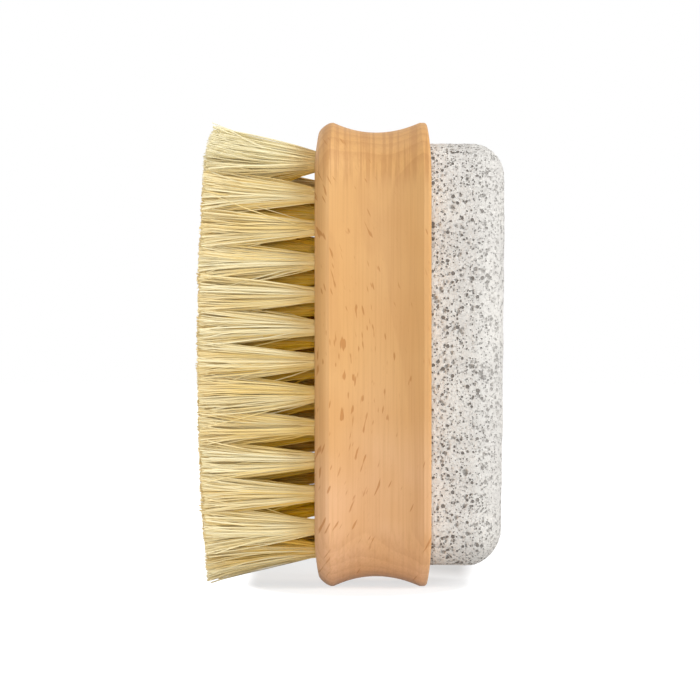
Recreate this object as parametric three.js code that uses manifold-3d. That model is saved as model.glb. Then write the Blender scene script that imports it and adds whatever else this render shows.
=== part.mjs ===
// Two-sided hand brush: natural bristle on one face of a beech block, pumice on the other.
// Millimetres. It stands on one end: +Z is its length, +X points to the pumice, -X to the bristle.
import * as THREE from 'three';
import { mergeGeometries, mergeVertices } from 'three/addons/utils/BufferGeometryUtils.js';
import Module from 'manifold-3d';

const wasm = await Module();
wasm.setup();

// Beech block: outline in the YZ plane, thickness along X
const BODY_LENGTH = 95;
const BODY_WIDTH = 40;
const BODY_THICKNESS = 23.6;
const BODY_CORNER = 13;

// Rims: rounding towards each face, and the straight band the brush stands on
const FACE_EDGE = 2;
const BACK_EDGE = 0.6;
const RIM_BAND = 0.9;

// Grip groove between the rims: its depth, and how gently it leaves them
const GROOVE_DEPTH = 2;
const GROOVE_POWER = 1.05;

// Bristle field: two rings of tufts, each ring set in from the outline and shifted by a part of its
// spacing, so that the tufts of one row stand behind the gaps of the next
const BRISTLE_LENGTH = 24.4;
const RING_INSET = 7.2;
const RING_STEP = 8.5;
const OUTER_TUFTS = 30;
const INNER_TUFTS = 22;
const OUTER_SHIFT = 0.8;
const INNER_SHIFT = 0.5;
const OUTER_LEAN = 3;
const INNER_LEAN = 1.5;
const LENGTH_CROWN = 2;
const WIDTH_CROWN = 0.6;
const TIP_FILL = 0.92;

// One tuft: a middle strand with others round it, each strand a lock of bristle, and the turn in
// radians from each tuft to the next
const STRANDS_ROUND = 6;
const TUFT_TURN = 2.4;
const STRAND_SIDES = 3;
const STRAND_ROOT_RADIUS = 0.5;
const STRAND_TIP_RADIUS = 1;

// Slices of the block's face that carry the tufts, and the seat cut for them
const SEAT_INSET = 3.7;
const SLICE_THICKNESS = 1.5;

// Tuft holes, folded roots and the flat wire anchors that the roots are folded round
const HOLE_DIAMETER = 3.4;
const HOLE_DEPTH = 13;
const FOLD_THICKNESS = 0.8;
const FOLD_CHAMFER = 0.5;
const ANCHOR_HEIGHT = 1.8;
const ANCHOR_THICKNESS = 0.5;

// Pumice stone, the pocket it sits in and the adhesive under it
const STONE_INSET = 4.3;
const STONE_PROUD = 15.1;
const STONE_EDGE = 6.5;
const POCKET_DEPTH = 2.5;
const ADHESIVE_THICKNESS = 0.6;

// Clearance round every piece that sits in a cut
const FIT = 0.3;

// Fineness of the faceted shapes
const CORNER_STEPS = 6;
const EDGE_STEPS = 4;
const GROOVE_STEPS = 12;
const STONE_STEPS = 5;
const HOLE_SIDES = 10;
const LEAST_CORNER = 2;
const OVERCUT = 1;

// Places along X, with the whole thickness centred on the origin
const tipX = -(BRISTLE_LENGTH + BODY_THICKNESS + STONE_PROUD) / 2;
const faceX = tipX + BRISTLE_LENGTH;
const backX = faceX + BODY_THICKNESS;
const stoneX = backX + STONE_PROUD;
const seatX = faceX + SLICE_THICKNESS;
const holeX = faceX + HOLE_DEPTH;
const pocketX = backX - POCKET_DEPTH;
const beddedX = pocketX + ADHESIVE_THICKNESS;
const middleZ = BODY_LENGTH / 2;

// Sizes of the outline set in by a distance
function insetSizes(inset) {
  const halfWidth = BODY_WIDTH / 2 - inset;
  const halfLength = BODY_LENGTH / 2 - inset;
  const corner = Math.max(BODY_CORNER - inset, LEAST_CORNER);
  return { halfWidth, halfLength, corner, flatY: halfWidth - corner, flatZ: halfLength - corner };
}

// Corner points [y, z] of that outline, counted from +Y towards +Z
function outline(inset) {
  const { corner, flatY, flatZ } = insetSizes(inset);
  const points = [];
  for (let quarter = 0; quarter < 4; quarter += 1) {
    const y = quarter === 0 || quarter === 3 ? flatY : -flatY;
    const z = quarter < 2 ? flatZ : -flatZ;
    for (let step = 0; step <= CORNER_STEPS; step += 1) {
      const angle = (quarter + step / CORNER_STEPS) * (Math.PI / 2);
      points.push([y + corner * Math.cos(angle), middleZ + z + corner * Math.sin(angle)]);
    }
  }
  return points;
}

// Solid skinned over outlines given as [x, inset], from low x to high
function loft(stations) {
  const rings = stations.map(([x, inset]) => outline(inset).map(([y, z]) => [x, y, z]));
  const count = rings[0].length;
  const last = (rings.length - 1) * count;
  const index = [];
  for (let ring = 0; ring < last; ring += count) {
    for (let i = 0; i < count; i += 1) {
      const next = (i + 1) % count;
      index.push(ring + i, ring + next, ring + count + next);
      index.push(ring + i, ring + count + next, ring + count + i);
    }
  }
  for (let i = 1; i < count - 1; i += 1) {
    index.push(0, i + 1, i);
    index.push(last, last + i, last + i + 1);
  }
  const geometry = new THREE.BufferGeometry();
  geometry.setAttribute('position', new THREE.Float32BufferAttribute(rings.flat(2), 3));
  geometry.setIndex(index);
  return geometry;
}

// Plate with the inset outline between two places along X
function plate(inset, fromX, toX) {
  return loft([[fromX, inset], [toX, inset]]);
}

// Between geometry and solids that can be added and cut
function solid(geometry) {
  const bare = new THREE.BufferGeometry();
  bare.setAttribute('position', geometry.getAttribute('position'));
  bare.setIndex(geometry.getIndex());
  const merged = mergeVertices(bare, 1e-4);
  return new wasm.Manifold(new wasm.Mesh({
    numProp: 3,
    vertProperties: new Float32Array(merged.getAttribute('position').array),
    triVerts: new Uint32Array(merged.getIndex().array),
  }));
}

function surface(manifold) {
  const mesh = manifold.getMesh();
  const geometry = new THREE.BufferGeometry();
  geometry.setAttribute('position', new THREE.BufferAttribute(new Float32Array(mesh.vertProperties), 3));
  geometry.setIndex(new THREE.BufferAttribute(new Uint32Array(mesh.triVerts), 1));
  return geometry;
}

// Geometry that keeps only the places of its points, so that pieces of any make can be joined
function plain(geometry) {
  const bare = new THREE.BufferGeometry();
  const loose = geometry.getIndex() ? geometry.toNonIndexed() : geometry;
  bare.setAttribute('position', loose.getAttribute('position'));
  return bare;
}

// Block profile: rounded face edge, band, grip groove, band, rounded back edge
function bodyStations() {
  const stations = [];
  for (let step = 0; step <= EDGE_STEPS; step += 1) {
    const angle = (step / EDGE_STEPS) * (Math.PI / 2);
    stations.push([faceX + FACE_EDGE * (1 - Math.cos(angle)), FACE_EDGE * (1 - Math.sin(angle))]);
  }
  const grooveFrom = faceX + FACE_EDGE + RIM_BAND;
  const grooveTo = backX - BACK_EDGE - RIM_BAND;
  for (let step = 0; step <= GROOVE_STEPS; step += 1) {
    const across = (2 * step) / GROOVE_STEPS - 1;
    const x = grooveFrom + ((across + 1) / 2) * (grooveTo - grooveFrom);
    stations.push([x, GROOVE_DEPTH * Math.pow(1 - across * across, GROOVE_POWER)]);
  }
  for (let step = 0; step <= EDGE_STEPS; step += 1) {
    const angle = (step / EDGE_STEPS) * (Math.PI / 2);
    stations.push([backX - BACK_EDGE * (1 - Math.sin(angle)), BACK_EDGE * (1 - Math.cos(angle))]);
  }
  return stations;
}

// Stone profile: straight sides, then the rounded edge of the outer face
function stoneStations() {
  const stations = [[beddedX, STONE_INSET]];
  for (let step = 0; step <= STONE_STEPS; step += 1) {
    const angle = (step / STONE_STEPS) * (Math.PI / 2);
    const x = stoneX - STONE_EDGE * (1 - Math.sin(angle));
    stations.push([x, STONE_INSET + STONE_EDGE * (1 - Math.cos(angle))]);
  }
  return stations;
}

// Tufts evenly spaced round one ring, each with its outward and along directions as [y, z]
function ringOfTufts(inset, count, lean, shift) {
  const { halfWidth, halfLength, corner, flatY, flatZ } = insetSizes(inset);
  const path = new THREE.Path();
  path.moveTo(-halfWidth, 0);
  path.lineTo(-halfWidth, flatZ);
  path.absarc(-flatY, flatZ, corner, Math.PI, Math.PI / 2, true);
  path.lineTo(flatY, halfLength);
  path.absarc(flatY, flatZ, corner, Math.PI / 2, 0, true);
  path.lineTo(halfWidth, -flatZ);
  path.absarc(flatY, -flatZ, corner, 0, -Math.PI / 2, true);
  path.lineTo(-flatY, -halfLength);
  path.absarc(-flatY, -flatZ, corner, -Math.PI / 2, -Math.PI, true);
  path.lineTo(-halfWidth, 0);
  const pitch = path.getLength() / count;
  const tufts = [];
  for (let i = 0; i < count; i += 1) {
    const share = (i + shift) / count;
    const place = path.getPoint(share);
    const along = path.getTangent(share);
    const out = { x: -along.y, y: along.x };
    const turn = (i + shift) * TUFT_TURN;
    tufts.push({ y: place.x, z: middleZ + place.y, along, out, turn, pitch, lean });
  }
  return tufts;
}

// One strand: a tapered prism from inside the slice to the trimmed tips
function strand(rootY, rootZ, tipY, tipZ, turn) {
  const acrossY = tipY / (BODY_WIDTH / 2);
  const acrossZ = (tipZ - middleZ) / (BODY_LENGTH / 2);
  const endX = tipX + LENGTH_CROWN * acrossZ * acrossZ + WIDTH_CROWN * acrossY * acrossY;
  const startX = faceX + SLICE_THICKNESS / 2;
  const positions = [];
  for (let i = 0; i < STRAND_SIDES; i += 1) {
    const angle = turn + (i / STRAND_SIDES) * 2 * Math.PI;
    const c = Math.cos(angle);
    const s = Math.sin(angle);
    positions.push(endX, tipY + STRAND_TIP_RADIUS * c, tipZ + STRAND_TIP_RADIUS * s);
    positions.push(startX, rootY + STRAND_ROOT_RADIUS * c, rootZ + STRAND_ROOT_RADIUS * s);
  }
  const index = [];
  for (let i = 0; i < STRAND_SIDES; i += 1) {
    const tip = 2 * i;
    const nextTip = (2 * i + 2) % (2 * STRAND_SIDES);
    index.push(tip, nextTip, nextTip + 1);
    index.push(tip, nextTip + 1, tip + 1);
  }
  for (let i = 1; i < STRAND_SIDES - 1; i += 1) {
    index.push(0, 2 * i + 2, 2 * i);
    index.push(1, 2 * i + 1, 2 * i + 3);
  }
  const geometry = new THREE.BufferGeometry();
  geometry.setAttribute('position', new THREE.Float32BufferAttribute(positions, 3));
  geometry.setIndex(index);
  return plain(geometry);
}

// Strands of one tuft: they part evenly towards the tips and lean outwards with the tuft
function tuftStrands(tuft) {
  const round = HOLE_DIAMETER / 2 - STRAND_ROOT_RADIUS - FIT / 2;
  const alongSpread = (TIP_FILL * tuft.pitch) / 2 - STRAND_TIP_RADIUS;
  const outSpread = (TIP_FILL * RING_STEP) / 2 - STRAND_TIP_RADIUS;
  const strands = [];
  for (let i = 0; i <= STRANDS_ROUND; i += 1) {
    const angle = tuft.turn + (i / STRANDS_ROUND) * 2 * Math.PI;
    const along = i === STRANDS_ROUND ? 0 : Math.cos(angle);
    const out = i === STRANDS_ROUND ? 0 : Math.sin(angle);
    const tipAlong = along * alongSpread;
    const tipOut = out * outSpread + tuft.lean;
    strands.push(strand(
      tuft.y + round * (along * tuft.along.x + out * tuft.out.x),
      tuft.z + round * (along * tuft.along.y + out * tuft.out.y),
      tuft.y + tipAlong * tuft.along.x + tipOut * tuft.out.x,
      tuft.z + tipAlong * tuft.along.y + tipOut * tuft.out.y,
      tuft.turn,
    ));
  }
  return strands;
}

// Places along X of the fold at the bottom of a hole and of the anchor in it
const rootEndX = holeX - FIT;
const eyeEndX = rootEndX - FOLD_THICKNESS;
const anchorX = eyeEndX - FIT - ANCHOR_HEIGHT / 2;
const eyeStartX = anchorX - ANCHOR_HEIGHT / 2 - FIT;
const rootSide = (HOLE_DIAMETER - 2 * FIT) / Math.SQRT2;
const anchorLength = HOLE_DIAMETER - 2 * FIT;

// Folded root of one tuft: a square bundle with the eye that the anchor passes through
function tuftRoot(tuft) {
  const half = rootSide / 2;
  const eye = ANCHOR_THICKNESS / 2 + FIT;
  const fold = new THREE.Shape();
  fold.moveTo(faceX + SLICE_THICKNESS / 2, -half);
  fold.lineTo(rootEndX - FOLD_CHAMFER, -half);
  fold.lineTo(rootEndX, FOLD_CHAMFER - half);
  fold.lineTo(rootEndX, half - FOLD_CHAMFER);
  fold.lineTo(rootEndX - FOLD_CHAMFER, half);
  fold.lineTo(faceX + SLICE_THICKNESS / 2, half);
  fold.closePath();
  const opening = new THREE.Path();
  opening.moveTo(eyeStartX, -eye);
  opening.lineTo(eyeStartX, eye);
  opening.lineTo(eyeEndX, eye);
  opening.lineTo(eyeEndX, -eye);
  opening.closePath();
  fold.holes.push(opening);
  const geometry = new THREE.ExtrudeGeometry(fold, { depth: rootSide, bevelEnabled: false });
  geometry.rotateX(Math.PI / 2);
  geometry.translate(0, tuft.y + half, tuft.z);
  return plain(geometry);
}

// Blind hole for one tuft, begun in the open seat
function tuftDrill(tuft) {
  const length = holeX - seatX + OVERCUT;
  const geometry = new THREE.CylinderGeometry(HOLE_DIAMETER / 2, HOLE_DIAMETER / 2, length, HOLE_SIDES);
  geometry.rotateZ(Math.PI / 2);
  geometry.translate(holeX - length / 2, tuft.y, tuft.z);
  return plain(geometry);
}

// Bristle of one ring: its slice of the block's face with the strands and roots of its tufts
function bristleRing(slice, tufts) {
  const strands = solid(mergeGeometries(tufts.flatMap(tuftStrands)));
  const roots = solid(mergeGeometries(tufts.map(tuftRoot)));
  return surface(slice.add(roots).add(strands));
}

// Flat wire anchor of one tuft, lying across the grain at the bottom of its hole
function tuftAnchor(tuft) {
  const geometry = new THREE.BoxGeometry(ANCHOR_HEIGHT, anchorLength, ANCHOR_THICKNESS);
  geometry.translate(anchorX, tuft.y, tuft.z);
  return geometry;
}

// Materials
const beech = new THREE.MeshStandardMaterial({ color: 0xe3b57b, roughness: 0.55, metalness: 0 });
const bristle = new THREE.MeshStandardMaterial({ color: 0xdcc88f, roughness: 0.6, metalness: 0 });
const pumice = new THREE.MeshStandardMaterial({ color: 0xe2e0dc, roughness: 0.95, metalness: 0 });
const adhesive = new THREE.MeshStandardMaterial({ color: 0xd9c8a4, roughness: 0.4, metalness: 0 });
const steel = new THREE.MeshStandardMaterial({ color: 0xb4b7ba, roughness: 0.35, metalness: 0.9 });

const group = new THREE.Group();
group.name = 'bristle_and_pumice_brush';

function addNode(name, geometry, material) {
  geometry.computeVertexNormals();
  const mesh = new THREE.Mesh(geometry, material);
  mesh.name = name;
  group.add(mesh);
}

// Layout of the tufts, and the line between the slices of the two rings
const outerTufts = ringOfTufts(RING_INSET, OUTER_TUFTS, OUTER_LEAN, OUTER_SHIFT);
const innerTufts = ringOfTufts(RING_INSET + RING_STEP, INNER_TUFTS, INNER_LEAN, INNER_SHIFT);
const splitInset = RING_INSET + RING_STEP / 2;

// Beech block with the tuft seat, the tuft holes and the pumice pocket
const drills = [...outerTufts, ...innerTufts].map(tuftDrill);
const body = solid(loft(bodyStations()))
  .subtract(solid(plate(SEAT_INSET, faceX - OVERCUT, seatX)))
  .subtract(solid(plate(STONE_INSET - FIT, pocketX, backX + OVERCUT)))
  .subtract(solid(mergeGeometries(drills)));
addNode('handle_body', surface(body), beech);

// Bristle rings
const outerSlice = solid(plate(SEAT_INSET + FIT, faceX, seatX))
  .subtract(solid(plate(splitInset - FIT / 2, faceX - OVERCUT, seatX + OVERCUT)));
const innerSlice = solid(plate(splitInset + FIT / 2, faceX, seatX));
addNode('bristles_outer_ring', bristleRing(outerSlice, outerTufts), bristle);
addNode('bristles_inner_ring', bristleRing(innerSlice, innerTufts), bristle);

// Anchors
for (const [ring, tufts] of [['outer', outerTufts], ['inner', innerTufts]]) {
  tufts.forEach((tuft, i) => {
    addNode(`anchor_${ring}_${String(i + 1).padStart(2, '0')}`, tuftAnchor(tuft), steel);
  });
}

// Pumice side
addNode('adhesive_bed', plate(STONE_INSET, pocketX, beddedX), adhesive);
addNode('pumice_stone', loft(stoneStations()), pumice);

export default group;
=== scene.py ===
"""Two-sided hand brush: bristle on one face of a beech block, pumice on the other.

The model is in metres, +Z up, and stands on one end as the CAD part does. Sizes in this script
are in millimetres, apart from the lights and the camera, and MM turns them into metres.
"""

import itertools
import math
from typing import NamedTuple

import bmesh
import bpy
import numpy as np
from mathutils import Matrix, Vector


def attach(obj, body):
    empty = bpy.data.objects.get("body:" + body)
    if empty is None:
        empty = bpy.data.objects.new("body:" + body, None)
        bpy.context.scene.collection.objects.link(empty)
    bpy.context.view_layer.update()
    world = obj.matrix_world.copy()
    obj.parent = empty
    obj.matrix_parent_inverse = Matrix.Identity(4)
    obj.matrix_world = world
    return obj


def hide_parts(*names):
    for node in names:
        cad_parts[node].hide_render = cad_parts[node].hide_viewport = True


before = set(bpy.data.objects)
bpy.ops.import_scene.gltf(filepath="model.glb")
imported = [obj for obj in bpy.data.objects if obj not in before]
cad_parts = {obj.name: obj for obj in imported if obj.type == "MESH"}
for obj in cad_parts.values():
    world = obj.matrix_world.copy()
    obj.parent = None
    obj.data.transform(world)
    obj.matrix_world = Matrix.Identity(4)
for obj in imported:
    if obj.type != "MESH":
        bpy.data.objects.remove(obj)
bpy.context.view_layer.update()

MM = 0.001
FULL_TURN = 6.28  # radians, for random phases
TINY = 1e-6  # keeps a division off zero
BAKE_MAP = "OFBake"

# Block, as in the solid: outline in the YZ plane, thickness along X
LENGTH, WIDTH, CORNER, THICKNESS = 95.0, 40.0, 13.0, 23.6
FACE_EDGE, BACK_EDGE, RIM_BAND = 2.0, 0.6, 0.9
GROOVE_DEPTH, GROOVE_POWER = 2.0, 1.05
FIT = 0.3

# Bristle, tuft holes and anchors, as in the solids
BRISTLE_LENGTH, LENGTH_CROWN, WIDTH_CROWN = 24.4, 2.0, 0.6
RING_INSET, RING_STEP, LEAST_CORNER = 7.2, 8.5, 2.0
HOLE_RADIUS, HOLE_DEPTH, FOLD_THICKNESS = 1.7, 13.0, 0.8
ANCHOR_HEIGHT, ANCHOR_THICKNESS = 1.8, 0.5
ANCHOR_LENGTH = 2 * (HOLE_RADIUS - FIT)

# Stone, pocket and adhesive, as in the solids
STONE_INSET, STONE_PROUD, STONE_EDGE = 4.3, 15.1, 6.5
POCKET_INSET, POCKET_DEPTH, ADHESIVE_THICKNESS = STONE_INSET - FIT, 2.5, 0.6

# Places along X, with the whole thickness centred, and the middle of the length
TIP_X = -(BRISTLE_LENGTH + THICKNESS + STONE_PROUD) / 2
FACE_X = TIP_X + BRISTLE_LENGTH
BACK_X = FACE_X + THICKNESS
STONE_X = BACK_X + STONE_PROUD
POCKET_X = BACK_X - POCKET_DEPTH
BEDDED_X = POCKET_X + ADHESIVE_THICKNESS
ANCHOR_X = FACE_X + HOLE_DEPTH - 2 * FIT - FOLD_THICKNESS - ANCHOR_HEIGHT / 2
MIDDLE_Z = LENGTH / 2


class Ring(NamedTuple):
    """A ring of tufts: its place on the block, as in the solids, and the way its tufts open."""

    inset: float  # from the block's outline
    count: int  # of tufts
    shift: float  # of the first tuft, in spacings
    bundle: float  # radius of a tuft at the block's face
    lean: float  # of the tips, outwards
    spread: float  # half depth of the patch that the tips fill
    stretch: float  # share by which the tips move away from the brush's middle
    # The deeper range of the inner ring is painted shade.
    tones_and_shade: tuple  # palest and deepest


RINGS = {
    "outer": Ring(
        inset=RING_INSET,
        count=30,
        shift=0.8,
        bundle=1.55,
        lean=1.5,
        spread=4.9,
        stretch=0.0,
        tones_and_shade=(0.0, 0.85),
    ),
    "inner": Ring(
        inset=RING_INSET + RING_STEP,
        count=22,
        shift=0.5,
        bundle=1.65,
        lean=0.4,
        spread=4.5,
        stretch=0.06,
        # Deeper than the outer ring: painted shade of the inner tufts.
        tones_and_shade=(0.5, 1.0),
    ),
}


# Shapes

FINE_TRIP = (600, 200, 200)  # steps of a long side, a corner and an end, to measure lengths


def round_trip(long_steps, corner_steps, end_steps):
    """Steps round a rounded rectangle from the middle of its -Y side towards +Z.

    Each step has the direction of the outward normal as an angle and the place of its
    corner's centre as shares of the flat sides, both straight lines between the corners.
    """
    counts = [long_steps // 2, corner_steps, end_steps, corner_steps, long_steps]
    counts += [corner_steps, end_steps, corner_steps, long_steps - long_steps // 2]
    knots = np.concatenate([[0], np.cumsum(counts)])
    step = np.arange(knots[-1])
    turn = np.interp(step, knots, np.pi * np.array([1, 1, 0.5, 0.5, 0, 0, -0.5, -0.5, -1, -1]))
    share_y = np.interp(step, knots, [-1, -1, -1, 1, 1, 1, 1, -1, -1, -1])
    share_z = np.interp(step, knots, [0, 1, 1, 1, 1, -1, -1, -1, -1, 0])
    return turn, share_y, share_z


def outlines(insets, trip, least=0.0):
    """Outline points (y, z) for each inset: flat sides joined by quarter circles.

    The quarter circles have the block's corner radius less the inset, and least at the least.
    """
    turn, share_y, share_z = trip
    inset = np.asarray(insets, float)[:, None]
    corner = np.maximum(CORNER - inset, least)
    y = share_y * (WIDTH / 2 - inset - corner) + corner * np.cos(turn)
    z = MIDDLE_Z + share_z * (LENGTH / 2 - inset - corner) + corner * np.sin(turn)
    return y, z


def loft(x, inset, trip):
    """Grid of points: the outline at each station of a profile given as x and inset.

    Also the outward normals: the profile's own normal, carried round by the outline's.
    """
    y, z = outlines(inset, trip)
    points = np.stack([np.broadcast_to(x[:, None], y.shape), y, z], -1)
    along_x, along_out = np.gradient(x), -np.gradient(inset)
    size = np.hypot(along_x, along_out)
    across, out = -along_out / size, along_x / size
    turn = trip[0]
    normal_x = np.broadcast_to(across[:, None], y.shape)
    normal_y, normal_z = out[:, None] * np.cos(turn), out[:, None] * np.sin(turn)
    return points, np.stack([normal_x, normal_y, normal_z], -1)


def grid_faces(rings, around):
    """Quads between neighbouring rings of points, each ring closed on itself."""
    ring = np.arange(rings - 1)[:, None] * around
    here = np.arange(around)[None]
    there = (here + 1) % around
    quads = [ring + here, ring + around + here, ring + around + there, ring + there]
    return np.stack(quads, -1).reshape(-1, 4)


def quarter(steps):
    """Angles of a quarter turn without its first."""
    return np.linspace(0, np.pi / 2, steps + 1)[1:]


def mesh_piece(name, points, *face_sets):
    """Smooth mesh object from points in millimetres and arrays of face corners."""
    mesh = bpy.data.meshes.new(name)
    mesh.vertices.add(len(points))
    mesh.vertices.foreach_set("co", (points * MM).ravel())
    corners = np.concatenate([faces.ravel() for faces in face_sets])
    sizes = np.concatenate([np.full(len(faces), faces.shape[1]) for faces in face_sets])
    mesh.loops.add(len(corners))
    mesh.loops.foreach_set("vertex_index", corners)
    mesh.polygons.add(len(sizes))
    mesh.polygons.foreach_set("loop_start", np.cumsum(sizes) - sizes)
    mesh.update(calc_edges=True)
    mesh.shade_smooth()
    piece = bpy.data.objects.new(name, mesh)
    bpy.context.scene.collection.objects.link(piece)
    return piece


def give_values(piece, name, values):
    """Stores one number for each point of a piece, for its material to read."""
    layer = piece.data.attributes.new(name, "FLOAT", "POINT")
    layer.data.foreach_set("value", np.asarray(values, np.float32).ravel())


def weld(piece, sharp_degrees):
    """Joins the points that meet on the middle lines, and keeps edges over an angle sharp."""
    build = bmesh.new()
    build.from_mesh(piece.data)
    bmesh.ops.remove_doubles(build, verts=build.verts, dist=0.002 * MM)
    build.to_mesh(piece.data)
    build.free()
    piece.data.set_sharp_from_angle(angle=math.radians(sharp_degrees))


def settle(piece, material, nodes):
    """Gives a piece its material and its body, and hides the CAD nodes that it stands for."""
    piece.data.materials.append(material)
    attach(piece, "root")
    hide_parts(*nodes)


def tufts_round(ring):
    """Tufts evenly spaced by length round the outline at a ring's inset, the first shifted along.

    Gives each tuft's place and outward direction in (y, z), and the spacing.
    """
    trip = round_trip(*FINE_TRIP)
    y, z = (v[0] for v in outlines([ring.inset], trip, LEAST_CORNER))
    facts = np.stack([y, z, np.cos(trip[0]), np.sin(trip[0])])
    facts = np.concatenate([facts, facts[:, :1]], 1)
    travelled = np.concatenate([[0], np.cumsum(np.hypot(*np.diff(facts[:2])))])
    at = (np.arange(ring.count) + ring.shift) / ring.count * travelled[-1]
    place = np.stack([np.interp(at, travelled, row) for row in facts], -1)
    return place[:, :2], place[:, 2:], travelled[-1] / ring.count


# Beech block

FACE_BEVEL, BEVEL_POWER = 2.4, 1.35  # the bristle side's edge: its depth along X, and its roundness
FACE_ROWS, EDGE_ROWS, GROOVE_ROWS, BACK_ROWS, POCKET_ROWS = 46, 8, 45, 8, 12
BLOCK_TRIP = (172, 40, 40)
BLOCK_SHARP_DEGREES = 15
RIM_INSIDE, RIM_OUTSIDE = 0.12, 0.3  # points as near as this to a hole's circle are moved on to it
THINNING_START = 36.0  # distance from the middle of the length
FACE_THINNING, BACK_THINNING = 1.2, 0.8  # at the very ends


def block_profile():
    """Profile of the block as x and inset, from the middle of one face to that of the other.

    Flat bristle face, rounded bevel of powers of a cosine and a sine, band, groove of depth
    (1 - s^2)^power, band, quarter circle, flat back with the stone's pocket sunk in it.
    """
    face = np.linspace(WIDTH / 2, FACE_EDGE, FACE_ROWS)
    angle = quarter(EDGE_ROWS)
    across = np.linspace(-1, 1, GROOVE_ROWS)
    start, end = FACE_X + FACE_EDGE + RIM_BAND, BACK_X - BACK_EDGE - RIM_BAND
    back = np.linspace(BACK_EDGE, POCKET_INSET, BACK_ROWS)[1:]
    pocket = np.linspace(POCKET_INSET, WIDTH / 2, POCKET_ROWS)
    x = [np.full(len(face), FACE_X), FACE_X + FACE_BEVEL * (1 - np.cos(angle) ** BEVEL_POWER)]
    x += [start + (across + 1) / 2 * (end - start), [BACK_X - BACK_EDGE]]
    x += [BACK_X - BACK_EDGE * (1 - np.sin(angle)), np.full(len(back), BACK_X)]
    x += [np.full(len(pocket), POCKET_X)]
    inset = [face, FACE_EDGE * (1 - np.sin(angle) ** BEVEL_POWER)]
    inset += [GROOVE_DEPTH * (1 - across**2) ** GROOVE_POWER, [0.0]]
    inset += [BACK_EDGE * (1 - np.cos(angle)), back, pocket]
    return np.concatenate(x), np.concatenate(inset), len(face)


def sink_holes(face, centres):
    """Sinks the tuft holes in the flat face's points.

    A point inside a hole's circle goes down to the hole's floor, and one just by the
    circle is moved on to it, so that the rim is round.
    """
    flat = face.reshape(-1, 3)
    away = flat[:, None, 1:] - centres[None]
    reach = np.linalg.norm(away, axis=-1)
    nearest = reach.argmin(1)
    reach = np.maximum(reach.min(1), TINY)
    away = away[np.arange(len(flat)), nearest]
    by_rim = (reach > HOLE_RADIUS - RIM_INSIDE) & (reach < HOLE_RADIUS + RIM_OUTSIDE)
    drawn = centres[nearest] + away * (HOLE_RADIUS / reach)[:, None]
    flat[:, 1:] = np.where(by_rim[:, None], drawn, flat[:, 1:])
    inside = (reach < HOLE_RADIUS) & ~by_rim
    flat[:, 0] += np.where(inside, HOLE_DEPTH, 0.0)
    return flat.reshape(face.shape)


def beech_block(centres):
    """The block: its profile carried round the rounded outline, with the tuft holes sunk.

    It gets a little thinner towards its ends, as the square of the distance.
    """
    x, inset, on_face = block_profile()
    points, _ = loft(x, inset, round_trip(*BLOCK_TRIP))
    points[:on_face] = sink_holes(points[:on_face].copy(), centres)
    from_middle = np.abs(points[..., 2] - MIDDLE_Z)
    late = np.clip((from_middle - THINNING_START) / (LENGTH / 2 - THINNING_START), 0, 1) ** 2
    off = 2 * (points[..., 0] - (FACE_X + BACK_X) / 2) / THICKNESS
    points[..., 0] -= late * off * np.where(off < 0, FACE_THINNING, BACK_THINNING)
    piece = mesh_piece("beech_block", points.reshape(-1, 3), grid_faces(*points.shape[:2]))
    weld(piece, BLOCK_SHARP_DEGREES)
    return piece


# Bristles

BRISTLES_PER_TUFT = 300
LOCKS_PER_TUFT = 17
BRISTLE_SIDES = 3
BRISTLE_RADIUS, BRISTLE_RADIUS_SHARES = 0.12, (0.8, 1.25)
STATIONS = np.array([-0.5, 0.0, 0.2, 0.42, 0.64, 0.84, 1.0])  # 0 at the block's face, 1 at the tip
TAPER = np.array([0.9, 1.0, 1.05, 1.05, 1.0, 0.95, 0.85])
SIDE_TURN = 0.4  # scatter of the side that faces outwards, in radians

# Spots of the tips, in a patch of half size 1
LOCK_SCATTER, TIP_SCATTER = 0.1, 0.07
GATHERING = (0.1, 0.75)  # least and most share by which a tip is drawn to its lock
SQUARENESS = 0.7
STRAY_SHARE, STRAY_SCATTER = 0.05, (0.8, 0.3)
TIP_LIMITS = np.array([1.5, 1.1])

# The patch, and the way to it
TIP_WIDTH = 0.66  # half width of the patch, in spacings
CORNER_LENGTHENING = 0.5  # of the patches at the brush's corners, as a share of the spread
EARLY_FAN = 0.6
ROOT_SQUEEZE, ROOT_CLEARANCE = 0.8, 0.8
BOW, LOCK_BOW, STRAY_BOW, TIP_BEND = 0.28, 0.3, 0.8, 0.32
EDGE_CLEARANCE = 0.2

# Trim of the tips
TRIM_ALLOWANCE, LOCK_UNEVEN, OWN_UNEVEN = 0.25, 0.22, 0.4
SHORT_SHARE, SHORT_BY = 0.12, 1.6
TOP_START, TOP_CROWN = 0.8, 1.1  # the upper end falls away more

# Tones, from pale to deep: at random by lock and bristle, with painted shade inwards and painted
# light at the upper end
LOCK_TONE, OWN_TONE, INWARD_PAINTED_SHADE = 0.28, 0.2, 0.5
# Painted light: strands towards the upper end are paler, as if lit from above.
TOP_LIGHT_START, TOP_LIGHT_END, TOP_LIGHT_PAINTED = 0.68, 0.9, 0.85  # towards the upper end

# Map of a bristle: margins, and the size of its strips and caps
TONE_MARGIN, REACH_MARGIN, STRIP, CAP_HEIGHT = 0.03, 0.02, 0.008, 0.01


def disc(count, phase):
    """Even spots in a unit disc, turned by a phase.

    The radius grows as the root of the number, turned by the golden angle each time.
    """
    number = np.arange(count)
    radius = np.sqrt((number + 0.5) / count)
    angle = number * math.pi * (3 - math.sqrt(5)) + phase
    return np.stack([radius * np.cos(angle), radius * np.sin(angle)], -1)


def of_lock(values, lock):
    """The value that each bristle's lock has, from values (tuft, lock, ...)."""
    return values[np.arange(len(values))[:, None], lock]


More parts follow.
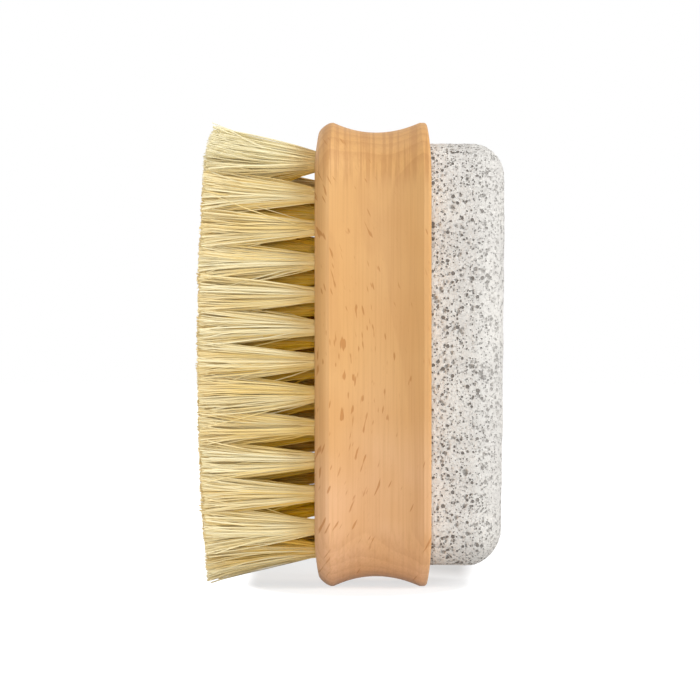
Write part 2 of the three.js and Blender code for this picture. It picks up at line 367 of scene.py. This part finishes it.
def tip_spots(tufts, draw):
    """Spots of the bristles of some tufts at the root and at the tip, their locks and strays.

    Root spots fill a unit disc. Tip spots are drawn together in locks, pushed out from the disc
    to a rounded square, and a few strays go further.
    """
    shape = (tufts, BRISTLES_PER_TUFT)
    root = disc(BRISTLES_PER_TUFT, draw.uniform(0, FULL_TURN, (tufts, 1)))
    locks = disc(LOCKS_PER_TUFT, draw.uniform(0, FULL_TURN, (tufts, 1)))
    locks = locks + draw.normal(0, LOCK_SCATTER, locks.shape)
    lock = np.linalg.norm(root[:, :, None] - locks[:, None], axis=-1).argmin(-1)
    gather = draw.uniform(*GATHERING, shape)[..., None]
    tip = root * (1 - gather) + of_lock(locks, lock) * gather
    tip = tip + draw.normal(0, TIP_SCATTER, tip.shape)
    far = np.linalg.norm(tip, axis=-1) / np.maximum(np.abs(tip).max(-1), TINY)
    tip = tip * far[..., None] ** SQUARENESS
    stray = (draw.random(shape) < STRAY_SHARE)[..., None]
    tip = tip + stray * draw.normal(0, STRAY_SCATTER, tip.shape)
    return root, np.clip(tip, -TIP_LIMITS, TIP_LIMITS), lock, stray


def trimmed_ends(end_y, end_z, lock, draw):
    """Place along X of each tip, trimmed to the crown of the brush.

    The crown falls away as the squares of the shares of width and length, with the upper end
    falling away once more. Locks and bristles are a little uneven, and some are shorter.
    """
    uneven = of_lock(draw.normal(0, LOCK_UNEVEN, (len(lock), LOCKS_PER_TUFT)), lock)
    short = np.abs(draw.normal(0, OWN_UNEVEN, lock.shape))
    short = short + np.where(draw.random(lock.shape) < SHORT_SHARE, SHORT_BY, 0.0)
    crown = TIP_X + TRIM_ALLOWANCE + LENGTH_CROWN * end_z**2 + WIDTH_CROWN * end_y**2
    upper = np.clip((end_z - TOP_START) / (1 - TOP_START), 0, 1)
    return np.maximum(crown + short + uneven + TOP_CROWN * upper**2, TIP_X)


def bristle_tones_light_and_shade(root, end_z, lock, tones_and_shade, draw):
    """Tone of each bristle: its lock's and its own at random, deeper inwards as painted shade, and
    pale at the upper end as painted light.
    """
    # Painted shade: strands towards the brush's middle get a deeper tone.
    inward_shade = 0.5 - 0.5 * root[..., 1]
    tone_light_and_shade = LOCK_TONE * of_lock(draw.random((len(lock), LOCKS_PER_TUFT)), lock)
    tone_light_and_shade = tone_light_and_shade + OWN_TONE * draw.random(lock.shape) + INWARD_PAINTED_SHADE * inward_shade
    # Painted light: the strands of the upper end get a paler tone.
    pale = np.clip((end_z - TOP_LIGHT_START) / (TOP_LIGHT_END - TOP_LIGHT_START), 0, 1)
    palest, deepest = tones_and_shade
    return palest + (deepest - palest) * tone_light_and_shade * (1 - TOP_LIGHT_PAINTED * pale)


def bristle_paths(place, out, pitch, ring, draw):
    """Paths of the bristles of some tufts: points (tuft, bristle, station, 3) and tones.

    A bristle runs from its hole straight to the face, then fans out from its spot in the
    bundle to its tip spot, as 0.6 t + 0.4 t^2, with a bow and a bent tip of its own. The patch
    of the tip spots is longer inwards at the brush's corners.
    """
    root, tip, lock, stray = tip_spots(len(place), draw)
    corner = np.abs(2 * out[:, 0] * out[:, 1])[:, None]
    longer = CORNER_LENGTHENING * ring.spread * corner
    half = np.stack(np.broadcast_arrays(TIP_WIDTH * pitch, ring.spread + longer), -1)
    tip = tip * half + np.stack(np.broadcast_arrays(0.0, ring.lean - longer), -1)
    start = root * ring.bundle

    bow = draw.normal(0, BOW, tip.shape)
    bow = bow + of_lock(draw.normal(0, LOCK_BOW, (len(place), LOCKS_PER_TUFT, 2)), lock)
    bow = bow + stray * draw.normal(0, STRAY_BOW, tip.shape)
    bend = draw.normal(0, TIP_BEND, tip.shape)
    t = np.maximum(STATIONS, 0.0)[:, None]
    fan = EARLY_FAN * t + (1 - EARLY_FAN) * t**2
    squeeze = np.where(STATIONS < 0, ROOT_SQUEEZE, 1.0)[:, None]
    lateral = start[:, :, None] * squeeze + (tip - start)[:, :, None] * fan
    lateral = lateral + bow[:, :, None] * 4 * t * (1 - t) + bend[:, :, None] * t**4

    along = np.stack([out[:, 1], -out[:, 0]], -1)[:, None, None]
    outward = out[:, None, None]
    flat = place[:, None, None] + lateral[..., :1] * along + lateral[..., 1:] * outward
    flat = flat + ring.stretch * (place - [0.0, MIDDLE_Z])[:, None, None] * fan
    low = np.array([-WIDTH / 2, 0.0]) + EDGE_CLEARANCE
    high = np.array([WIDTH / 2, LENGTH]) - EDGE_CLEARANCE
    flat = np.clip(flat, low, high)

    end_y = flat[:, :, -1, 0] / (WIDTH / 2)
    end_z = (flat[:, :, -1, 1] - MIDDLE_Z) / (LENGTH / 2)
    end_x = trimmed_ends(end_y, end_z, lock, draw)
    x = FACE_X + (end_x[..., None] - FACE_X) * np.maximum(STATIONS, 0)
    x = np.where(STATIONS < 0, FACE_X + HOLE_DEPTH - ROOT_CLEARANCE, x)
    tone_light_and_shade = bristle_tones_light_and_shade(root, end_z, lock, ring.tones_and_shade, draw)
    return np.concatenate([x[..., None], flat], -1), tone_light_and_shade


def bristle_tubes(paths, out, draw):
    """Points of tapered tubes along the paths, a side turned outwards, with sides and end caps."""
    count, stations = paths.shape[:2]
    side = np.arange(BRISTLE_SIDES)
    facing = np.repeat(np.arctan2(out[:, 1], out[:, 0]), BRISTLES_PER_TUFT)
    facing = (facing - np.pi / BRISTLE_SIDES)[:, None, None]
    facing = facing + draw.normal(0, SIDE_TURN, (count, 1, 1))
    angle = facing + side * 2 * np.pi / BRISTLE_SIDES
    radius = BRISTLE_RADIUS * TAPER[:, None] * draw.uniform(*BRISTLE_RADIUS_SHARES, (count, 1, 1))
    points = np.repeat(paths[:, :, None], BRISTLE_SIDES, 2)
    points[..., 1] += radius * np.cos(angle)
    points[..., 2] += radius * np.sin(angle)

    first = np.arange(count)[:, None, None] * stations * BRISTLE_SIDES
    level = first + np.arange(stations - 1)[:, None] * BRISTLE_SIDES
    here, beside = level + side, level + (side + 1) % BRISTLE_SIDES
    quads = np.stack([here, here + BRISTLE_SIDES, beside + BRISTLE_SIDES, beside], -1)
    last = (stations - 1) * BRISTLE_SIDES
    caps = first + np.array([[last, last + 2, last + 1], [0, 1, 2]])
    return points.reshape(-1, 3), quads.reshape(-1, 4), caps.reshape(-1, 3)


def bristle_map(tone_light_and_shade):
    """Map places of the tubes' corners: across by a bristle's tone, up by the reach to its tip.

    The sides of a tube are strips side by side, and its caps small triangles at their ends.
    """
    middle = TONE_MARGIN + (1 - 2 * TONE_MARGIN) * tone_light_and_shade.reshape(-1, 1, 1)
    reach = (STATIONS - STATIONS[0]) / (STATIONS[-1] - STATIONS[0])
    reach = REACH_MARGIN + (1 - 2 * REACH_MARGIN) * reach
    left = middle + STRIP * (np.arange(BRISTLE_SIDES) - BRISTLE_SIDES / 2)
    left = np.broadcast_to(left, (tone_light_and_shade.size, len(STATIONS) - 1, BRISTLE_SIDES))
    right = left + STRIP
    low = np.broadcast_to(reach[:-1, None], left.shape)
    high = np.broadcast_to(reach[1:, None], left.shape)
    sides = np.stack([left, low, left, high, right, high, right, low], -1)
    across = middle[:, 0] + STRIP * BRISTLE_SIDES / 2 * np.array([-1, 1, 0])
    tip = np.broadcast_to(reach[-1] - CAP_HEIGHT * np.array([0, 0, 1]), across.shape)
    root = np.broadcast_to(reach[0] + CAP_HEIGHT * np.array([0, 0, 1]), across.shape)
    caps = np.stack([np.stack([across, tip], -1), np.stack([across, root], -1)], 1)
    return np.concatenate([sides.ravel(), caps.ravel()])


def bristle_piece(name, place, out, pitch, ring, draw):
    """Bristles of some tufts of a ring: three-sided tapered tubes, closed at both ends."""
    paths, tone_light_and_shade = bristle_paths(place, out, pitch, ring, draw)
    points, sides, caps = bristle_tubes(paths.reshape(-1, len(STATIONS), 3), out, draw)
    piece = mesh_piece(name, points, sides, caps)
    piece.data.shade_flat()
    layer = piece.data.uv_layers.new(name=BAKE_MAP)
    layer.data.foreach_set("uv", bristle_map(tone_light_and_shade).astype(np.float32))
    return piece


# Pumice

STONE_TRIP = (256, 50, 50)
UNDER_ROWS, SIDE_ROWS, STONE_EDGE_ROWS, STONE_FACE_ROWS = 6, 32, 36, 32
BED_ROW, SUNK_ROW = 0.9, 0.3  # above the bed, and below the block's back
SKIN_START = 0.5  # the skin has its full roughness from here, outside the block's back
LARGE_BUBBLES = (1.5, (0.36, 0.6), 0.7)  # spacing, least and most radius, share of places
SMALL_BUBBLES = (1.1, (0.3, 0.42), 0.8)
BUBBLE_DEPTH, OPEN_DEPTH = 1.1, 0.25
BENT_BY, BENT_WAVES = 0.1, np.linspace(0.8, 3, 12)
SLOW_HEIGHT, SLOW_WAVES = 0.08, np.linspace(7, 22, 14)
FINE_HEIGHT, FINE_WAVES = 0.06, np.linspace(0.9, 2.4, 18)
TAPER_BY, TAPER_OVER = 0.9, 15.0
ROUNDED_BY, ROUNDED_X, ROUNDED_Z = 1.2, (22.0, 31.0), (14.0, 4.0)
NEVER_SHARP_DEGREES = 180


def bubbles(points, spacing, radii, share, draw):
    """How deep points lie inside round bubbles: the bubble's radius less the distance.

    A share of the cells of a cubic grid has one bubble each, at a random spot.
    """
    low = points.min(0) - 2 * spacing
    mine = np.floor((points - low) / spacing).astype(int)
    table = draw.random((*(mine.max(0) + 2), 5))
    deepest = np.zeros(len(points))
    for shift in itertools.product((-1, 0, 1), repeat=3):
        near = mine + shift
        facts = table[tuple(near.T)]
        centre = low + (near + facts[:, :3]) * spacing
        radius = radii[0] + (radii[1] - radii[0]) * facts[:, 3] ** 2
        depth = radius - np.linalg.norm(points - centre, axis=1)
        deepest = np.maximum(deepest, np.where(facts[:, 4] < share, depth, 0.0))
    return deepest


def waves(points, lengths, draw):
    """Smooth uneven field: a sum of sine waves in random directions, about -1 to 1."""
    total = np.zeros(len(points))
    for length in lengths:
        way = draw.normal(0, 1, 3)
        way = way / np.linalg.norm(way) * 2 * np.pi / length
        total += np.sin(points @ way + draw.uniform(0, FULL_TURN))
    return total / math.sqrt(len(lengths))


def stone_profile():
    """Profile of the stone as x and inset: flat underside, straight sides, quarter circle, face."""
    under = np.linspace(WIDTH / 2, STONE_INSET, UNDER_ROWS)
    side = np.linspace(BACK_X - SUNK_ROW, STONE_X - STONE_EDGE, SIDE_ROWS)
    side = np.concatenate([[BEDDED_X + BED_ROW], side])
    angle = quarter(STONE_EDGE_ROWS)
    face = np.linspace(STONE_INSET + STONE_EDGE, WIDTH / 2, STONE_FACE_ROWS)[1:]
    x = [np.full(len(under), BEDDED_X), side]
    x += [STONE_X - STONE_EDGE * (1 - np.sin(angle)), np.full(len(face), STONE_X)]
    inset = [under, np.full(len(side), STONE_INSET)]
    inset += [STONE_INSET + STONE_EDGE * (1 - np.cos(angle)), face]
    return np.concatenate(x), np.concatenate(inset)


def pumice_stone(draw):
    """The stone: its profile carried round the outline, with a rough skin.

    The skin is moved along its normals: uneven by slow and fine waves, and sunk where bubbles
    of two sizes cut it. It tapers a little towards its lower end, as the square of the distance,
    and is rounder there.
    """
    points, normals = loft(*stone_profile(), round_trip(*STONE_TRIP))
    grid = points.shape[:2]
    points, normals = points.reshape(-1, 3), normals.reshape(-1, 3)
    shown = np.clip((points[:, 0] - BACK_X) / SKIN_START, 0, 1)
    bent = points + BENT_BY * np.stack([waves(points, BENT_WAVES, draw) for _ in "xyz"], -1)
    large = bubbles(bent, *LARGE_BUBBLES, draw)
    small = bubbles(bent, *SMALL_BUBBLES, draw)
    sunk = BUBBLE_DEPTH * large + BUBBLE_DEPTH * small
    slow = np.clip(waves(points, SLOW_WAVES, draw), -1, 1)
    fine = np.clip(waves(points, FINE_WAVES, draw), -1, 1)
    depth = sunk + SLOW_HEIGHT * slow + FINE_HEIGHT * fine
    points = points - normals * (depth * shown)[:, None]

    low = 1 - points[:, 2] / LENGTH
    points[:, 0] -= TAPER_BY * shown * low**2 * (points[:, 0] - BACK_X) / TAPER_OVER
    towards_face = np.clip((points[:, 0] - ROUNDED_X[0]) / (ROUNDED_X[1] - ROUNDED_X[0]), 0, 1)
    towards_foot = np.clip((points[:, 2] - ROUNDED_Z[0]) / (ROUNDED_Z[1] - ROUNDED_Z[0]), 0, 1)
    points[:, 0] -= ROUNDED_BY * towards_face * towards_foot**2

    piece = mesh_piece("pumice_block", points, grid_faces(*grid))
    # How deep a point lies in an open bubble; the material darkens it as painted shade.
    give_values(piece, "pore", np.clip(sunk / OPEN_DEPTH, 0, 1) * shown)
    weld(piece, NEVER_SHARP_DEGREES)
    return piece


# Anchors

ANCHOR_SIDES = 12
ANCHOR_SQUARENESS = 0.35
ANCHOR_STATIONS = np.array([-1.0, -1.0, -0.97, 0.97, 1.0, 1.0])
ANCHOR_SIZES = np.array([0.0, 0.9, 1.0, 1.0, 0.9, 0.0])
ANCHOR_SHARP_DEGREES = 50


def anchor_wires(centres):
    """Flat wire anchors: a rounded-square section carried along a short straight path."""
    angle = np.linspace(0, 2 * np.pi, ANCHOR_SIDES, endpoint=False)
    way = np.stack([np.cos(angle), np.sin(angle)], -1)
    section = np.sign(way) * np.abs(way) ** ANCHOR_SQUARENESS
    x = ANCHOR_X + ANCHOR_SIZES[:, None] * section[:, 0] * ANCHOR_HEIGHT / 2
    z = ANCHOR_SIZES[:, None] * section[:, 1] * ANCHOR_THICKNESS / 2
    y = np.broadcast_to(ANCHOR_STATIONS[:, None] * ANCHOR_LENGTH / 2, x.shape)
    one = np.stack([x, y, z], -1).reshape(-1, 3)
    place = np.concatenate([np.zeros((len(centres), 1)), centres], 1)
    points = (one[None] + place[:, None]).reshape(-1, 3)
    faces = grid_faces(len(ANCHOR_STATIONS), ANCHOR_SIDES)
    start = np.arange(len(centres))[:, None, None] * len(one)
    piece = mesh_piece("anchor_wires", points, (faces[None] + start).reshape(-1, 4))
    weld(piece, ANCHOR_SHARP_DEGREES)
    return piece


# Materials


class Field:
    """A value in a node tree: arithmetic on it adds Math nodes, and node() any other."""

    def __init__(self, tree, socket=None):
        self.tree = tree
        self.socket = socket

    def node(self, kind, settings=None, inputs=None, output=0):
        """Adds a node: its settings are set first, then its sockets are filled or linked."""
        made = self.tree.nodes.new(kind)
        for key, value in (settings or {}).items():
            setattr(made, key, value)
        for key, value in (inputs or {}).items():
            if isinstance(value, Field):
                self.tree.links.new(value.socket, made.inputs[key])
            else:
                made.inputs[key].default_value = value
        return Field(self.tree, made.outputs[output] if made.outputs else None)

    def math(self, operation, *values):
        """Math node on some values."""
        return self.node("ShaderNodeMath", {"operation": operation}, dict(enumerate(values)))

    def __add__(self, other):
        return self.math("ADD", self, other)

    def __sub__(self, other):
        return self.math("SUBTRACT", self, other)

    def __rsub__(self, other):
        return self.math("SUBTRACT", other, self)

    def __mul__(self, other):
        return self.math("MULTIPLY", self, other)

    def __truediv__(self, other):
        return self.math("DIVIDE", self, other)

    def __pow__(self, other):
        return self.math("POWER", self, other)

    __radd__ = __add__
    __rmul__ = __mul__

    def most(self, other):
        """The larger of this value and another."""
        return self.math("MAXIMUM", self, other)

    def step(self, start, end):
        """Smooth step from 0 at start to 1 at end."""
        settings = {"interpolation_type": "SMOOTHSTEP"}
        return self.node("ShaderNodeMapRange", settings, {0: self, 1: start, 2: end})

    def mix(self, first, second):
        """Colour between two others, with this value as the share of the second."""
        settings = {"data_type": "RGBA"}
        return self.node("ShaderNodeMix", settings, {0: self, 6: first, 7: second}, 2)

    def parts(self):
        """The three numbers of a vector."""
        return [self.node("ShaderNodeSeparateXYZ", None, {0: self}, part) for part in range(3)]

    def stretched(self, x, y, z):
        """A vector with its parts multiplied."""
        return self.node("ShaderNodeVectorMath", {"operation": "MULTIPLY"}, {0: self, 1: (x, y, z)})

    def noise(self, scale, detail=2.0, roughness=0.5):
        """Noise at this place, about 0.5."""
        inputs = {"Vector": self, "Scale": scale, "Detail": detail, "Roughness": roughness}
        return self.node("ShaderNodeTexNoise", None, inputs)

    def warped(self, scale, amount):
        """This place moved about by noise."""
        inputs = {"Vector": self, "Scale": scale, "Detail": 1.0}
        shift = self.node("ShaderNodeTexNoise", None, inputs, 1)
        inputs = {0: shift, 1: (amount, amount, amount), 2: self}
        return self.node("ShaderNodeVectorMath", {"operation": "MULTIPLY_ADD"}, inputs)

    def bump(self, strength, distance):
        """Normal that takes this value as a height."""
        inputs = {"Height": self, "Strength": strength, "Distance": distance}
        return self.node("ShaderNodeBump", None, inputs)


def colour(red, green, blue):
    """Colour for a shader from its 0 to 255 screen values."""
    screen = np.array([red, green, blue]) / 255
    linear = np.where(screen <= 0.04045, screen / 12.92, ((screen + 0.055) / 1.055) ** 2.4)
    return (*linear.tolist(), 1.0)


def grey(level):
    """Plain grey for a shader."""
    return (level, level, level, 1.0)


def new_material(name):
    """Empty material, as a field to add nodes to, and the place on it in millimetres."""
    material = bpy.data.materials.new(name)
    material.use_nodes = True
    material.node_tree.nodes.clear()
    field = Field(material.node_tree)
    place = field.node("ShaderNodeTexCoord", None, None, 3).stretched(1 / MM, 1 / MM, 1 / MM)
    return material, field, place


def surface(field, inputs):
    """Finishes a material with one Principled surface."""
    shader = field.node("ShaderNodeBsdfPrincipled", None, inputs)
    field.node("ShaderNodeOutputMaterial", None, {"Surface": shader})


def beech_material():
    """Beech cut with its growth rings facing +Y and -Y.

    Rays run along Y: seen end on they are short flecks, and on the rounded ends fine lines.
    Growth rings show as lines along Z, and as arcs on the ends.
    """
    ring_width, ring_wander, heart_x, ring_curve = 1.9, 6.0, 10.0, 90.0
    fleck_bend, fleck_middle_z = 0.0075, 46.0
    few_from_x, few_from_z = (2.0, 10.0), (66.0, 78.0)
    upper_end_z, lower_end_z, foot_tint_and_light_z = (80.0, 85.0), (8.0, 14.0), (3.0, 50.0)
    material, field, place = new_material("beech")
    x, y, z = place.parts()
    drift = place.stretched(0.05, 0.03, 0.012).noise(1.0, 2.0)
    ring = (y + (x - heart_x) ** 2.0 / ring_curve + drift * ring_wander) / ring_width
    phase = ring.math("FRACT", ring)
    late = phase.step(0.3, 0.94) * (1 - phase.step(0.94, 1.0))
    tilt = x + fleck_bend * (z - fleck_middle_z) ** 2.0
    lean = field.node("ShaderNodeCombineXYZ", None, {0: tilt, 1: y, 2: z})
    few = 1 - 0.1 * x.step(*few_from_x) - 0.07 * z.step(*few_from_z)
    flecks = (lean.stretched(1.3, 0.06, 0.27).noise(1.0, 1.0) * few).step(0.615, 0.7)
    fine = lean.stretched(4.5, 0.2, 0.8).noise(1.0, 1.0).step(0.6, 0.85)
    end = z.step(*upper_end_z) + 0.35 * (1 - z.step(*lower_end_z))
    rays = place.stretched(1.7, 0.03, 0.04).noise(1.0, 1.0).step(0.5, 0.64)
    streaks = place.stretched(2.6, 2.6, 0.05).noise(1.0, 2.0)
    clouds = place.noise(0.06, 2.0)
    # Pinker and paler towards the lower end: partly the wood's tint, partly painted light that
    # lifts the shaded lower end.
    body = z.step(*foot_tint_and_light_z).mix(colour(226, 179, 138), colour(219, 170, 110))
    body = (clouds.step(0.3, 0.75) * 0.55).mix(body, colour(211, 157, 95))
    body = (streaks.step(0.4, 0.75) * 0.32).mix(body, colour(200, 148, 90))
    body = (late * (0.12 + 0.12 * end)).mix(body, colour(180, 124, 74))
    body = (rays * end * 0.35).mix(body, colour(176, 120, 70))
    body = (fine * 0.12).mix(body, colour(168, 112, 62))
    body = (flecks * 0.6).mix(body, colour(174, 109, 43))
    height = streaks * 0.4 - flecks * 0.6 - late * 0.2
    inputs = {"Base Color": body, "Roughness": 0.46 + 0.12 * streaks, "Specular IOR Level": 0.3}
    inputs["Normal"] = height.bump(0.12, 0.3 * MM)
    surface(field, inputs)
    return material


def bristle_material():
    """Natural bristle: pale straw to amber by the bristle's tone, deeper at the root, pale tips;
    the deeper root and the amber are painted shade.
    """
    material, field, _ = new_material("bristle")
    spot = field.node("ShaderNodeUVMap", {"uv_map": BAKE_MAP})
    tone_light_and_shade, reach, _ = spot.parts()
    # Painted shade: the root half is deeper, as where the bristles shade each other near the block.
    root, tip = 1 - reach.step(0.33, 0.6), reach.step(0.75, 1.0)
    # Painted shade: amber on the deep-toned strands short of their tips, for the shaded inner tufts
    # between the gaps.
    amber = tone_light_and_shade.step(0.4, 0.8) * (1 - reach.step(0.5, 0.85))
    body = tone_light_and_shade.step(0.0, 0.6).mix(colour(247, 237, 197), colour(239, 205, 113))
    body = (root * 0.55).mix(body, colour(232, 192, 96))
    body = amber.mix(body, colour(246, 190, 14))
    body = (tip * 0.3).mix(body, colour(254, 246, 214))
    surface(field, {"Base Color": body, "Roughness": 0.45, "Specular IOR Level": 0.2})
    return material


# Layers of round pores: spots to a millimetre, and the least and most radius in spot spacings.
# A radius well below zero leaves no pore.
PORE_LAYERS = ((1.0, -0.3, 0.45), (1.55, -0.2, 0.4), (2.6, -0.2, 0.38))


def pumice_material():
    """Pumice: off-white with a rough grain, dark pores with pale edges and open bubbles; the pores'
    darkness is painted shade and their pale edges a painted highlight.

    Pores show less towards the stone's face on the near side: a painted highlight where that edge
    catches the light.
    """
    # Painted highlight: pores fade towards the stone's face on its near side.
    highlight_x, highlight_end_y = (23.0, 31.0), (-13.0, -8.0)
    material, field, place = new_material("pumice")
    bubble = field.node("ShaderNodeAttribute", {"attribute_name": "pore"}, None, 2)
    x, y, _ = place.parts()
    clouds = place.noise(0.12, 3.0)
    smudge = place.warped(0.5, 2.5).noise(0.6, 3.0, 0.65)
    grain = place.noise(3.2, 3.0, 0.6)
    # Painted highlight: less of the pores shows towards the face, mostly on the near side.
    shown = 1 - 0.5 * x.step(*highlight_x) * (1 - 0.8 * y.step(*highlight_end_y))
    bent = place.warped(0.9, 0.25)
    # Painted shade: open bubbles and pores are darkened as their hollows would be shaded.
    holes = bubble.step(0.1, 1.0) * 0.65 * shown
    rim_highlights = 0.0
    for scale, least, most in PORE_LAYERS:
        spots = {"Vector": bent, "Scale": scale}
        apart = field.node("ShaderNodeTexVoronoi", None, spots)
        chance = field.node("ShaderNodeTexVoronoi", None, spots, 1).parts()[0]
        edge = apart - (least + (most - least) * chance)
        holes = holes.most((1 - edge.step(-0.11, 0.03)) * shown)
        # Painted highlight: a pale ring round each pore's edge.
        rim = edge.step(0.0, 0.05) * (1 - edge.step(0.07, 0.2))
        rim_highlights = rim.most(rim_highlights)
    body = clouds.step(0.35, 0.7).mix(colour(228, 225, 219), colour(218, 215, 210))
    body = (grain.step(0.4, 0.75) * 0.32).mix(body, colour(188, 184, 179))
    body = (smudge.step(0.5, 0.75) * 0.28).mix(body, colour(168, 164, 159))
    # Painted highlight round the pores.
    body = (rim_highlights * 0.3).mix(body, colour(246, 243, 238))
    # Painted shade in the pores.
    body = (holes * 0.85).mix(body, colour(96, 88, 80))
    height = grain * 0.35 - smudge * 0.3 - holes * 1.2 + rim_highlights * 0.15
    inputs = {"Base Color": body, "Roughness": 0.95, "Specular IOR Level": 0.2}
    inputs["Normal"] = height.bump(0.8, 0.5 * MM)
    surface(field, inputs)
    return material


def adhesive_material():
    """Cured glue: amber, a little cloudy."""
    material, field, place = new_material("adhesive")
    clouds = place.noise(0.3, 2.0)
    body = clouds.mix(colour(206, 176, 120), colour(190, 150, 92))
    surface(field, {"Base Color": body, "Roughness": 0.3 + 0.2 * clouds})
    return material


def wire_material():
    """Drawn steel wire: fine streaks along its length."""
    material, field, place = new_material("anchor_wire")
    streaks = place.stretched(9.0, 0.5, 9.0).noise(1.0, 2.0)
    body = streaks.mix(colour(170, 172, 174), colour(205, 206, 208))
    surface(field, {"Base Color": body, "Metallic": 1.0, "Roughness": 0.3 + 0.2 * streaks})
    return material


# The brush

BRISTLE_SEED, STONE_SEED = 7, 41

tufts = {name: tufts_round(ring) for name, ring in RINGS.items()}
centres = np.concatenate([place for place, _, _ in tufts.values()])

settle(beech_block(centres), beech_material(), ["handle_body"])

straw = bristle_material()
for number, (name, (place, out, pitch)) in enumerate(tufts.items()):
    near = place[:, 0] < 0
    for part, (side, chosen) in enumerate({"near": near, "far": ~near}.items()):
        draw = np.random.default_rng([BRISTLE_SEED, number, part])
        title = f"bristles_{name}_{side}"
        piece = bristle_piece(title, place[chosen], out[chosen], pitch, RINGS[name], draw)
        settle(piece, straw, [f"bristles_{name}_ring"])

stone = pumice_stone(np.random.default_rng(STONE_SEED))
settle(stone, pumice_material(), ["pumice_stone"])

anchors = [f"anchor_{name}_{i + 1:02d}" for name, ring in RINGS.items() for i in range(ring.count)]
settle(anchor_wires(centres), wire_material(), anchors)

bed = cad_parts["adhesive_bed"]
bed.data.materials.clear()
bed.data.materials.append(adhesive_material())


# Floor and surroundings

CAMERA_RAY, GLOSSY_RAY, TRANSMISSION_RAY = 0, 3, 6  # outputs of the Light Path node
FLOOR_REACH = 4000.0
# The floor as seen is painted darker than for other rays: painted shade that deepens the brush's
# shadow near it.
FLOOR_PAINT, FLOOR_PAINT_SEEN_SHADED, FLOOR_GLOW = 0.9, 0.72, 1.3
SKY_LEVEL, SKY_SLOPE = 0.32, 0.22  # strength of the light from all round, brighter towards +X


def seen_share(field):
    """1 for rays that show the surroundings: the camera's own, mirrored and let through."""
    share = field.node("ShaderNodeLightPath", None, None, CAMERA_RAY)
    for kind in (GLOSSY_RAY, TRANSMISSION_RAY):
        share = share.most(field.node("ShaderNodeLightPath", None, None, kind))
    return share


def floor_material():
    """Pale floor: it is seen lifted towards white, least under the brush and behind it to +X, where
    the smaller lift is a painted shadow.

    So the brush's soft shadow stays on it, deepened by that painted shadow and by the seen floor's
    darker paint, and it is white further away.
    """
    middle_x, near_share, clear_of_brush = 2.0, 0.6, (21.0, 28.0)
    painted_shadow_x, painted_shadow_y = (5.0, 25.0), (-5.0, 60.0)
    material, field, place = new_material("floor")
    seen = seen_share(field)
    paint = seen.mix(grey(FLOOR_PAINT), grey(FLOOR_PAINT_SEEN_SHADED))
    plain = field.node("ShaderNodeBsdfDiffuse", None, {"Color": paint})
    glow = field.node("ShaderNodeEmission", None, {"Color": grey(1.0), "Strength": FLOOR_GLOW})
    x, y, _ = place.parts()
    front = y.math("MINIMUM", y, 0.0) * near_share
    away = ((x - middle_x) ** 2.0 + front**2.0) ** 0.5
    # Painted shadow: the floor is lifted less behind the brush, and less again towards +X.
    painted_shadow = (0.25 + 0.4 * x.step(*painted_shadow_x)) * y.step(*painted_shadow_y)
    lifted = 0.54 - painted_shadow + 0.9 * away.step(*clear_of_brush)
    shader = field.node("ShaderNodeMixShader", None, {0: seen * lifted, 1: plain, 2: glow})
    field.node("ShaderNodeOutputMaterial", None, {"Surface": shader})
    return material


corners = FLOOR_REACH * np.array([[-1, -1, 0], [1, -1, 0], [1, 1, 0], [-1, 1, 0]])
floor = mesh_piece("floor", corners, np.array([[0, 1, 2, 3]]))
floor.data.materials.append(floor_material())

world = bpy.data.worlds.new("studio")
bpy.context.scene.world = world
world.use_nodes = True
world.node_tree.nodes.clear()
sky = Field(world.node_tree)
seen = seen_share(sky)
across = sky.node("ShaderNodeTexCoord", None, None, 0).parts()[0]
level = seen + (1 - seen) * (SKY_LEVEL + SKY_SLOPE * across)
background = sky.node("ShaderNodeBackground", None, {"Color": grey(1.0), "Strength": level})
sky.node("ShaderNodeOutputWorld", None, {"Surface": background})


# Lights and camera: places and sizes in metres, power in watts, lens and sensor in millimetres

MIDDLE = (0.0, 0.0, 0.048)
LIGHTS = {  # place, size, power
    "key_light": ((0.8, -0.4, 0.65), 0.6, 6.6),
    "top_light": ((-0.3, 0.0, 1.1), 0.7, 2.7),
    "fill_light": ((-0.05, -1.3, 0.1), 0.4, 6.8),
    "back_light": ((-1.0, 0.7, 0.5), 0.6, 4.8),
}
CAMERA_PLACE, CAMERA_LENS, CAMERA_SENSOR = (0.0, -0.7, 0.0484), 173.7, 36.0


def soft_light(name, place, size, power):
    """Square area light that faces the brush's middle."""
    data = bpy.data.lights.new(name, "AREA")
    data.size = size
    data.energy = power
    light = bpy.data.objects.new(name, data)
    light.location = place
    light.rotation_euler = (Vector(MIDDLE) - Vector(place)).to_track_quat("-Z", "Y").to_euler()
    bpy.context.scene.collection.objects.link(light)


for name, facts in LIGHTS.items():
    soft_light(name, *facts)

camera_data = bpy.data.cameras.new("camera")
camera_data.sensor_width = CAMERA_SENSOR
camera_data.lens = CAMERA_LENS
camera = bpy.data.objects.new("camera", camera_data)
camera.location = CAMERA_PLACE
camera.rotation_euler = (math.pi / 2, 0.0, 0.0)
bpy.context.scene.collection.objects.link(camera)
bpy.context.scene.camera = camera

bpy.context.scene.view_settings.view_transform = "Standard"
